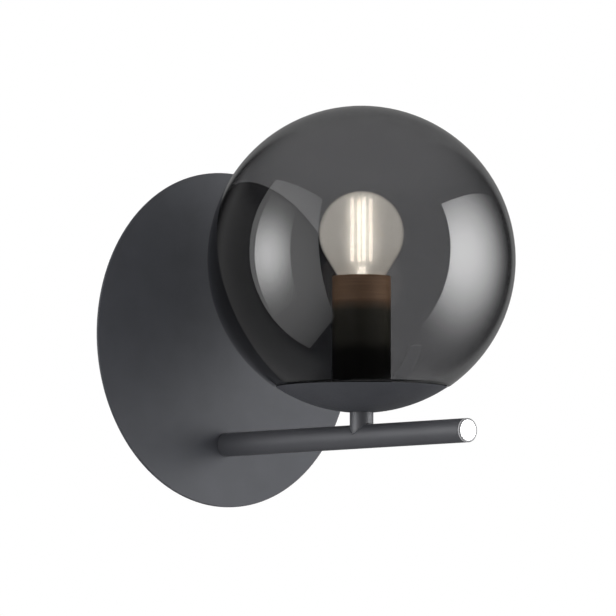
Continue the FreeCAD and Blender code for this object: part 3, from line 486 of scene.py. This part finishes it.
MATERIALS = {
    "dark_paint": dark_paint(),
    "polished_chrome": chrome(),
    "zinc_steel": zinc(),
    "spring_steel": spring_steel(),
    "silicone": silicone(),
    "smoked_glass": smoked_glass(),
    "black_sleeve": black_sleeve(),
    "bronze": bronze(),
    "black_plastic": moulded("black_plastic", (0.018, 0.018, 0.019)),
    "white_ceramic": ceramic(),
    "plated_shell": plated(),
    "brass": brass(),
    "bulb_glass": lamp_glass(),
    "black_glass": black_glass(),
    "solder": solder(),
    "filament": filament(),
    "bright_wire": drawn_wire("bright_wire", (0.62, 0.60, 0.55), 0.25, (0.45, 0.42, 0.36)).mat,
    "circuit_board": board(),
    "white_nylon": moulded("white_nylon", (0.78, 0.78, 0.75), 0.5),
    "brown_lead": insulation("brown_lead", (0.16, 0.07, 0.035)),
    "blue_lead": insulation("blue_lead", (0.04, 0.13, 0.42)),
    "earth_lead": insulation("earth_lead", (0.10, 0.34, 0.05), (0.75, 0.66, 0.05)),
}
# A lighter, glossier copy of the dark paint for the arm, stem and fillet: its lighter colour is
# painted light.
LIT_TUBE_PAINT = dark_paint("lit_tube_paint", (0.090, 0.092, 0.103), 0.45, 0.34)
OWN_MATERIALS = {"bulb_mount": mount_glass(), "arm_tube": LIT_TUBE_PAINT, "stem_tube": LIT_TUBE_PAINT}

for entry in frame["record"]["subparts"]:
    slots = NODES[entry["node"]].data.materials
    slots.clear()
    slots.append(OWN_MATERIALS.get(entry["node"], MATERIALS[entry["material_slot"]]))


# --- Pieces: profiles are in mm, as pairs of radius and height ---

def smooth_mesh(name, verts, faces, sharp):
    """Mesh in metres, shaded smooth but for edges that turn by more than sharp degrees."""
    mesh = bpy.data.meshes.new(name)
    mesh.from_pydata([tuple(v) for v in verts], [], faces)
    mesh.validate()
    mesh.polygons.foreach_set("use_smooth", [True] * len(mesh.polygons))
    mesh.set_sharp_from_angle(angle=math.radians(sharp))
    return mesh


def piece(name, verts, faces, body, slot, sharp, material=None):
    mesh = smooth_mesh(name, verts, faces, sharp)
    mesh.materials.append(material or MATERIALS[slot])
    made = add_object(name, mesh)
    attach(made, body)
    return made


def upright(x, y, z):
    """From a place about the upright axis of the stem, in mm, to the row's frame."""
    return Vector((x, y + STEM_Y, z)) * MM


def along_arm(x, y, z):
    """The same for a shape turned so that its height points into the room, on the arm's axis."""
    return Vector((x, -z, y + ARM_Z)) * MM


def ring_faces(rows, columns, closed):
    faces = []
    for i in range(rows if closed else rows - 1):
        a, b = i * columns, ((i + 1) % rows) * columns
        for j in range(columns):
            k = (j + 1) % columns
            faces.append((a + j, a + k, b + k, b + j))
    return faces


def turned(name, profile, place, body, slot, segments, sharp, radius=None, material=None):
    """Closed profile turned about an axis; radius(r, height, turn) can shape it."""
    verts = []
    for r, h in profile:
        for j in range(segments):
            t = 2 * math.pi * j / segments
            size = radius(r, h, t) if radius else r
            verts.append(place(size * math.cos(t), size * math.sin(t), h))
    faces = ring_faces(len(profile), segments, True)
    return piece(name, verts, faces, body, slot, sharp, material)


def arc(centre, radius, start, end, steps):
    """Points on an arc, angles in degrees from +r towards +height."""
    points = []
    for i in range(steps + 1):
        t = math.radians(start + (end - start) * i / steps)
        points.append((centre[0] + radius * math.cos(t), centre[1] + radius * math.sin(t)))
    return points


def thread(pitch, depth, low, high, fade):
    """Radius rule for a rolled right-handed thread, which fades in over fade at both ends."""

    def rule(r, h, t):
        ease = min(1, max(0, (h - low) / fade)) * min(1, max(0, (high - h) / fade))
        return r - depth * ease * (0.5 - 0.5 * math.cos(2 * math.pi * h / pitch - t))

    return rule


def wall(outer, inner):
    return outer + inner[::-1]


def heights(low, high, size):
    count = max(1, round((high - low) / size))
    return [low + (high - low) * i / count for i in range(count + 1)]


def lamp_cap():
    """Rolled 14 mm screw cap: the thread, the smooth flare above it and the rolled-in foot."""
    outer = [(5.5, -0.45), (6.2, -0.1), (6.75, 0.5)]
    outer += [(6.88, h) for h in heights(0.9, 16.0, LAMP_THREAD_STEP)]
    outer += [(6.9, 17.0), (7.6, 17.5), (8.15, 18.1), (8.42, 18.8), (8.48, 20.2), (8.4, 20.55)]
    inner = [(5.3, -0.2), (6.0, 0.3), (6.45, 0.8)]
    inner += [(6.6, h) for h in heights(1.1, 16.0, LAMP_THREAD_STEP)]
    inner += [(6.65, 17.2), (7.3, 17.75), (7.85, 18.3), (8.15, 18.9), (8.21, 20.2), (8.3, 20.55)]
    rolled = thread(LAMP_PITCH, depth=0.62, low=0.6, high=15.6, fade=0.8)
    made = turned("lamp_cap", wall(outer, inner), upright, "bulb", "plated_shell",
                  segments=72, sharp=60, radius=rolled)
    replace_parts(made, "bulb_cap")


def socket_shell():
    """Screw shell of the holder, its rolled thread in step with the lamp's."""
    outer_r, inner_r = 7.54, 7.36
    rows = heights(-1.48, 16.58, LAMP_THREAD_STEP)
    profile = wall([(outer_r, h) for h in rows], [(inner_r, h) for h in rows])
    rolled = thread(LAMP_PITCH, depth=0.58, low=-0.4, high=16.0, fade=0.6)
    made = turned("socket_shell", profile, upright, "fixture", "plated_shell",
                  segments=72, sharp=60, radius=rolled)
    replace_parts(made, "screw_shell")


def nipple(name, node, low, high, place):
    """M10 by 1 threaded hollow nipple with bevelled ends."""
    crest_r, end_r, bore_r, mouth_r = 4.94, 4.55, 3.92, 3.95
    bevel, lip = 0.35, 0.3
    rows = heights(low + bevel, high - bevel, 0.167)
    outer = [(end_r, low)] + [(crest_r, h) for h in rows] + [(end_r, high)]
    inner = [(mouth_r, low), (bore_r, low + lip), (bore_r, high - lip), (mouth_r, high)]
    cut = thread(1.0, depth=0.5, low=low + lip, high=high - lip, fade=0.5)

    def radius(r, h, t):
        return cut(r, h, t) if r == crest_r else r

    made = turned(name, wall(outer, inner), place, "fixture", "zinc_steel",
                  segments=48, sharp=30, radius=radius)
    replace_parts(made, node)


def hex_nut(name, node, low, high, place):
    """M10 hexagonal nut, its corners turned off and its bore's mouths bevelled at both ends."""
    flats, bore_r = 13.0, 5.0
    bevel, rise = 0.7, 0.8             # how far up a corner is turned off, and by how much
    mouth = 0.35

    def radius(r, h, t):
        if r < flats / 2:              # the bore stays round
            return r
        off = t % (math.pi / 3) - math.pi / 6
        edge = min(h - low, high - h)
        return min(flats / 2 / math.cos(off), flats / 2 + edge / bevel * rise)

    outer = [(flats / 2, h) for h in heights(low, high, (high - low) / 10)]
    inner = [(bore_r + mouth, low + 0.02), (bore_r, low + 0.4), (bore_r, high - 0.4),
             (bore_r + mouth, high - 0.02)]
    made = turned(name, wall(outer, inner), place, "fixture", "zinc_steel",
                  segments=96, sharp=22, radius=radius)
    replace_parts(made, node)


def end_button():
    """Chrome cap: a flat polished face, a satin ring round it and a satin band on its side."""

    def behind(*points):
        """Profile from pairs of radius and depth behind the face."""
        return [(r, ARM_FACE - depth) for r, depth in points]

    def turned_part(name, profile, material=None):
        return turned(name, profile, along_arm, "fixture", "polished_chrome",
                      segments=128, sharp=25, material=material)

    edge_round = 0.30
    ring = behind((5.28, 0.22), (5.28, 0.04), (5.32, 0))
    ring += arc((6.05, ARM_FACE - edge_round), edge_round, 90, 0, 6) + behind((6.35, 0.34))
    turned_part("end_ring", ring, satin("satin_edge", 0.26))
    band = behind((6.0, 1.14), (6.0, 0.58), (6.30, 0.58), (6.345, 0.62), (6.345, 1.10),
                  (6.30, 1.14))
    turned_part("end_band", band, satin("satin_band", 0.75))
    button = behind((0.02, 0.03), (5.22, 0.03), (5.26, 0.07), (5.26, 0.38), (6.1, 0.38),
                    (6.1, 1.20), (6.20, 1.32), (6.12, 1.48), (5.1, 1.49), (5.1, 9.3),
                    (4.9, 9.5), (3.8, 9.5), (3.8, 1.6), (0.02, 1.6))
    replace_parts(turned_part("end_button", button), "end_cap")


def bent_wire(points, radius, sides=8):
    """Round wire through points in mm, as (verts, faces) with closed ends."""
    path = [Vector(p) for p in points]
    verts, faces = [], []
    for i, p in enumerate(path):
        run = (path[min(i + 1, len(path) - 1)] - path[max(i - 1, 0)]).normalized()
        side = run.orthogonal() if i == 0 else side - run * side.dot(run)
        side.normalize()
        up = run.cross(side)
        for k in range(sides):
            a = 2 * math.pi * k / sides
            verts.append(p + side * (radius * math.cos(a)) + up * (radius * math.sin(a)))
    faces += [tuple(reversed(range(sides))), tuple(range(len(verts) - sides, len(verts)))]
    for i in range(len(path) - 1):
        for k in range(sides):
            a, b = i * sides + k, i * sides + (k + 1) % sides
            faces.append((a, b, b + sides, a + sides))
    return verts, faces


def filament_hooks():
    """Wires that hold the lit rods: up from the mount, out under each, and across their tops."""
    rods, first_turn, ring_r = 4, -27, 5.1
    rod_low, rod_top, mount_top, wire_r = 36.4, 69.6, 33.5, 0.32
    bow = [(1.3, -0.4), (1.7, -0.2), (2.6, 0.1), (4.0, 0.3), (5.2, 0.7), (5.75, 1.4), (5.6, 2.1)]
    bow = [(r, mount_top + z) for r, z in bow] + [(ring_r, rod_low - 0.3), (ring_r, rod_low)]
    over = [(ring_r, 0), (ring_r, 0.35), (4.6, 0.75), (3.0, 0.85), (0.2, 0.9)]
    over = [(r, rod_top + z) for r, z in over]
    verts, faces = [], []
    for i in range(rods):
        turn = math.radians(first_turn + 360 / rods * i)
        out = Vector((math.cos(turn), math.sin(turn), 0))
        for bend in (bow, over):
            more, closed = bent_wire([out * r + Vector((0, 0, z)) for r, z in bend], wire_r)
            faces.extend(tuple(k + len(verts) for k in face) for face in closed)
            verts.extend(more)
    placed = [upright(*v) for v in verts]
    made = piece("filament_hooks", placed, faces, "bulb", "bright_wire", sharp=60,
                 material=lit_wire())
    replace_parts(made, "filament_wires")


def joint_fillet():
    """Fine brazed fillet, painted over, where the stem's saddle meets the arm."""
    count, sides = 96, 8
    saddle_r, bead_r, lift = 6.22, 0.55, 0.05
    verts = []
    for i in range(count):
        t = 2 * math.pi * i / count
        outward = Vector((math.cos(t), math.sin(t), 0))
        x, y = saddle_r * math.cos(t), saddle_r * math.sin(t)
        centre = Vector((x, y + STEM_Y, ARM_Z + math.sqrt(ARM_R ** 2 - x ** 2) + lift))
        for k in range(sides):
            a = 2 * math.pi * k / sides
            offset = outward * (math.cos(a) * bead_r) + Vector((0, 0, math.sin(a) * bead_r))
            verts.append((centre + offset) * MM)
    faces = ring_faces(count, sides, True)
    piece("joint_fillet", verts, faces, "fixture", "dark_paint", sharp=60, material=LIT_TUBE_PAINT)


def cut_slot(made, corners):
    """Take the block with these eight corners out of a piece."""
    sides = [(0, 1, 3, 2), (4, 6, 7, 5), (0, 4, 5, 1), (2, 3, 7, 6), (0, 2, 6, 4), (1, 5, 7, 3)]
    block = bpy.data.meshes.new("blade")
    block.from_pydata([tuple(c) for c in corners], [], sides)
    blade = add_object("blade", block)
    cut = made.modifiers.new("slot", "BOOLEAN")
    cut.object = blade
    cut.operation = "DIFFERENCE"
    cut.solver = "EXACT"
    evaluated = made.evaluated_get(bpy.context.evaluated_depsgraph_get())
    done = bpy.data.meshes.new_from_object(evaluated)
    made.modifiers.clear()
    made.data = done
    bpy.data.objects.remove(blade)


def side_screw(name, side):
    """Slotted pan-head screw with a rolled M4 thread; side is 1 for right and -1 for left."""
    shank_low, head_low, top = 60.3, 68.3, 70.9
    shank_r, head_r, corner = 1.97, 3.78, 1.2
    slot_half, slot_reach, slot_deep = 0.5, 5, 1.1

    def place(x, y, z):
        return Vector((side * z, y - 7.0, x)) * MM

    profile = [(0.02, shank_low), (1.5, shank_low)]
    profile += [(shank_r, h) for h in heights(shank_low + 0.4, head_low - 0.3, 0.14)]
    profile += [(shank_r, head_low - 0.02), (3.55, head_low), (head_r, head_low + 0.25),
                (head_r, top - corner)]
    profile += arc((head_r - corner, top - corner), corner, 0, 90, 6) + [(0.02, top)]
    rolled = thread(0.7, depth=0.34, low=shank_low + 0.2, high=head_low - 0.6, fade=0.3)

    def radius(r, h, t):
        return rolled(r, h, t) if r == shank_r else r

    made = turned(name, profile, place, "bracket", "dark_paint",
                  segments=48, sharp=30, radius=radius)
    cut_slot(made, [place(x, y, z) for x in (-slot_half, slot_half)
                    for y in (-slot_reach, slot_reach) for z in (top - slot_deep, top + 1)])
    return made


lamp_cap()
socket_shell()
nipple("arm_nipple_threaded", "arm_nipple", 13.5, 35.0, along_arm)
nipple("stem_nipple_threaded", "stem_nipple", -49.6, -33.2, upright)
hex_nut("arm_nut_bevelled", "arm_nut", 15.0, 18.0, along_arm)
hex_nut("cup_nut_bevelled", "cup_nut", -40.7, -37.7, upright)
end_button()
filament_hooks()
joint_fillet()
right_screw = side_screw("side_screw_right", 1)
side_screw("side_screw_left", -1)
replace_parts(right_screw, "side_screws")    # one node holds both

# The lamp's glass lets its own light out to the pieces round it.
NODES["bulb_glass"].visible_shadow = False


# --- Studio ---

MATT_SHARE = 0.09              # of a softbox's light, for matt surfaces: a plain level
TENT_RADIUS = 2.2
TENT_FLAT = 0.8                # its height as a share of its width
FLOOR_Z = -1.9                 # such a light hangs about this far above the floor
FLOOR_RADIUS = 6.0
MATT_LIGHT, WHITE = 0.68, 1.0  # the world's level for matt surfaces, and where it is seen


def after_mirror(tree):
    """1 for a ray that has been mirrored on its way, 0 for one that only came through glass."""
    path = tree.nodes.new("ShaderNodeLightPath")
    return math_node(tree, "GREATER_THAN", path.outputs["Glossy Depth"], 0.5)


def panel_light(name, centre, across, up, size, share, hot, base, only_mirrored):
    """Area lamp behind cloth, with an even level and one bright spot, both as in softbox."""
    light = bpy.data.lights.new(name, "AREA")
    light.shape = "RECTANGLE"
    light.size, light.size_y = size
    light.energy = size[0] * size[1] * math.pi
    lamp = add_object(name, light)
    stand(lamp, centre, across, up, across.cross(up))
    light.use_nodes = True
    tree = light.node_tree
    spot_across, spot_up, spread, level = hot
    place = tree.nodes.new("ShaderNodeNewGeometry").outputs["Parametric"]
    offset = vector_math(tree, "SUBTRACT", place,
                         (spot_across / size[0] + 0.5, spot_up / size[1] + 0.5, 0))
    scaled = vector_math(tree, "MULTIPLY", offset, (size[0] / spread, size[1] / spread, 0))
    squared = vector_math(tree, "DOT_PRODUCT", scaled, scaled)
    fall = math_node(tree, "EXPONENT", product(tree, squared, -0.5))
    glow = product(tree, math_node(tree, "ADD", product(tree, fall, level), base), share)
    if only_mirrored:
        glow = product(tree, glow, after_mirror(tree))
    plug(tree, glow, tree.nodes["Emission"].inputs["Strength"])
    lamp.visible_camera = False
    return lamp


def softbox(name, centre, across, size, roll, hot, base=0.0):
    """Softbox in three lamps at one place: for gloss, for what glass mirrors inside, for matt.

    centre and across are (right, up, back) of the camera, centre from the globe. across is
    the way that the cloth's own right points, such that across x up leads away from the
    globe. hot is (across, up, spread, level) of the bright spot; base is the even level.
    """
    axes = Matrix((RIGHT, CAM_UP, BACK)).transposed()
    place = GLOBE_CENTRE + axes @ Vector(centre)
    side = (axes @ Vector(across)).normalized()
    up = (CAM_UP - side * CAM_UP.dot(side)).normalized()
    turn = Matrix.Rotation(math.radians(roll), 3, side.cross(up))
    side, up = turn @ side, turn @ up
    for use, share, only_mirrored, unseen_by in (
        ("gloss", 1.0, False, ("diffuse", "transmission")),
        ("inside", 1.0, True, ("diffuse", "glossy")),
        ("matt", MATT_SHARE, False, ("glossy", "transmission")),
    ):
        lamp = panel_light(f"{name}_{use}", place, side, up, size, share, hot, base,
                           only_mirrored)
        for ray in unseen_by:
            setattr(lamp, f"visible_{ray}", False)


def studio_floor():
    """Round pale floor, far below, that fades into the white round it."""
    fade_over = (2.2, 5.5)             # metres from its middle
    mesh = bpy.data.meshes.new("floor")
    count = 96
    turns = [2 * math.pi * i / count for i in range(count)]
    mesh.from_pydata([(FLOOR_RADIUS * math.cos(t), FLOOR_RADIUS * math.sin(t), FLOOR_Z)
                      for t in turns], [], [tuple(range(count))])
    floor = add_object("floor", mesh)
    m = Mat("floor", (0.85, 0.85, 0.85), 0.9)
    away = vector_math(m.tree, "LENGTH", m.coords)
    clear = m.node("ShaderNodeBsdfTransparent").outputs[0]
    mix_surfaces(m.tree, map_range(m.tree, away, 0, 1, *fade_over, smooth=True),
                 m.shader.outputs[0], clear)
    mesh.materials.append(m.mat)


def tent_level(tree):
    """How bright the tent is towards each side: dark, with a paler roof, back and left wall."""
    coords = tree.nodes.new("ShaderNodeTexCoord").outputs["Object"]
    split = tree.nodes.new("ShaderNodeSeparateXYZ")
    plug(tree, coords, split.inputs[0])
    height = split.outputs["Z"]
    unit = vector_math(tree, "NORMALIZE", coords)

    def towards(direction):
        return vector_math(tree, "DOT_PRODUCT", unit, direction)

    def eased(value, start, end, level=1.0):
        return map_range(tree, value, 0, level, start, end, smooth=True)

    ahead, left = towards(-BACK), towards(-RIGHT)
    roof = eased(height, 0.9, 1.7, 0.24)
    # Paper behind the object, a little left of its middle and cut off below on its left.
    beside = math_node(tree, "ABSOLUTE", math_node(tree, "ADD", left, 0.1))
    not_low_left = largest(tree, eased(towards(RIGHT), -0.08, 0.0), eased(height, 0.15, 0.45))
    paper = product(tree, eased(product(tree, beside, -1.0), -0.50, -0.36, 0.22),
                    eased(ahead, 0.0, 0.35), not_low_left)
    wall_left = product(tree, eased(left, 0.2, 0.4, 0.2),
                        eased(product(tree, ahead, -1.0), -0.85, -0.58),
                        eased(ahead, -0.25, 0.05), eased(towards(-CAM_UP), -0.65, -0.35))
    return math_node(tree, "ADD", largest(tree, roof, paper, wall_left), 0.01)


def reflection_tent():
    """Dark cloth round the set, as for photographing glass: only mirrored rays meet it."""
    rows, columns = 12, 24
    verts = []
    for i in range(rows + 1):
        e = math.radians(-89.9 + 179.8 * i / rows)
        for j in range(columns):
            a = 2 * math.pi * j / columns
            verts.append((TENT_RADIUS * math.cos(e) * math.cos(a),
                          TENT_RADIUS * math.cos(e) * math.sin(a),
                          TENT_FLAT * TENT_RADIUS * math.sin(e)))
    mesh = bpy.data.meshes.new("tent")
    mesh.from_pydata(verts, [], ring_faces(rows + 1, columns, False))
    tent = add_object("tent", mesh)
    mat = bpy.data.materials.new("tent")
    mat.use_nodes = True
    mat.cycles.emission_sampling = "NONE"
    tree = mat.node_tree
    tree.nodes.remove(tree.nodes["Principled BSDF"])
    glow = tree.nodes.new("ShaderNodeEmission")
    plug(tree, tent_level(tree), glow.inputs["Strength"])
    clear = tree.nodes.new("ShaderNodeBsdfTransparent").outputs[0]
    mix_surfaces(tree, after_mirror(tree), clear, glow.outputs[0])
    mesh.materials.append(mat)
    for ray in ("camera", "diffuse", "volume_scatter", "shadow"):
        setattr(tent, f"visible_{ray}", False)


def globe_fill(name, right, up, back, watts):
    """Soft warm lamp inside the globe, for the light that its wall sends back on the holder.

    It stands off the holder's middle, right, up and back as the camera sees it.
    """
    reach = 0.055
    light = bpy.data.lights.new(name, "AREA")
    light.shape = "DISK"
    light.size = 0.05
    light.energy = watts
    light.color = (1.0, 0.93, 0.84)
    lamp = add_object(name, light)
    away = (RIGHT * right + CAM_UP * up + BACK * back).normalized()
    side = Vector((0, 0, 1)).cross(away).normalized()
    holder_middle = Vector((0, STEM_Y, 18.0)) * MM
    stand(lamp, holder_middle + away * reach, side, away.cross(side), away)
    lamp.visible_camera = lamp.visible_glossy = lamp.visible_transmission = False


def white_world():
    """Even light, at a lower level for matt surfaces than for the camera, gloss and glass."""
    world = bpy.data.worlds.new("world")
    bpy.context.scene.world = world
    world.use_nodes = True
    tree = world.node_tree
    path = tree.nodes.new("ShaderNodeLightPath")
    seen = largest(tree, *(path.outputs[f"Is {ray} Ray"]
                           for ray in ("Camera", "Glossy", "Transmission")))
    background = tree.nodes["Background"]
    background.inputs["Color"].default_value = (1, 1, 1, 1)
    plug(tree, map_range(tree, seen, MATT_LIGHT, WHITE, 0, 1), background.inputs["Strength"])


softbox("softbox_right", centre=(0.9, -0.46, -0.245), across=(0, 0, -1), size=(1.40, 2.0),
        roll=-8.5, hot=(-0.585, 0.44, 0.39, 11.2))
softbox("softbox_left", centre=(-0.75, 0.05, 0.33), across=(0, 0, 1), size=(0.48, 1.05),
        roll=6.0, hot=(-0.06, 0.0, 0.195, 8.0))
softbox("cloth_left", centre=(-0.713, -0.174, 0.55), across=(0.236, 0, 0.979),
        size=(1.01, 2.19), roll=9.5, hot=(0.0, 0.15, 0.75, 1.95), base=0.15)
studio_floor()
reflection_tent()
globe_fill("fill_right", 0.85, 0.1, 0.5, 0.02)
globe_fill("fill_left", -0.75, 0.1, 0.65, 0.012)
white_world()
bpy.context.scene.view_settings.view_transform = "Standard"
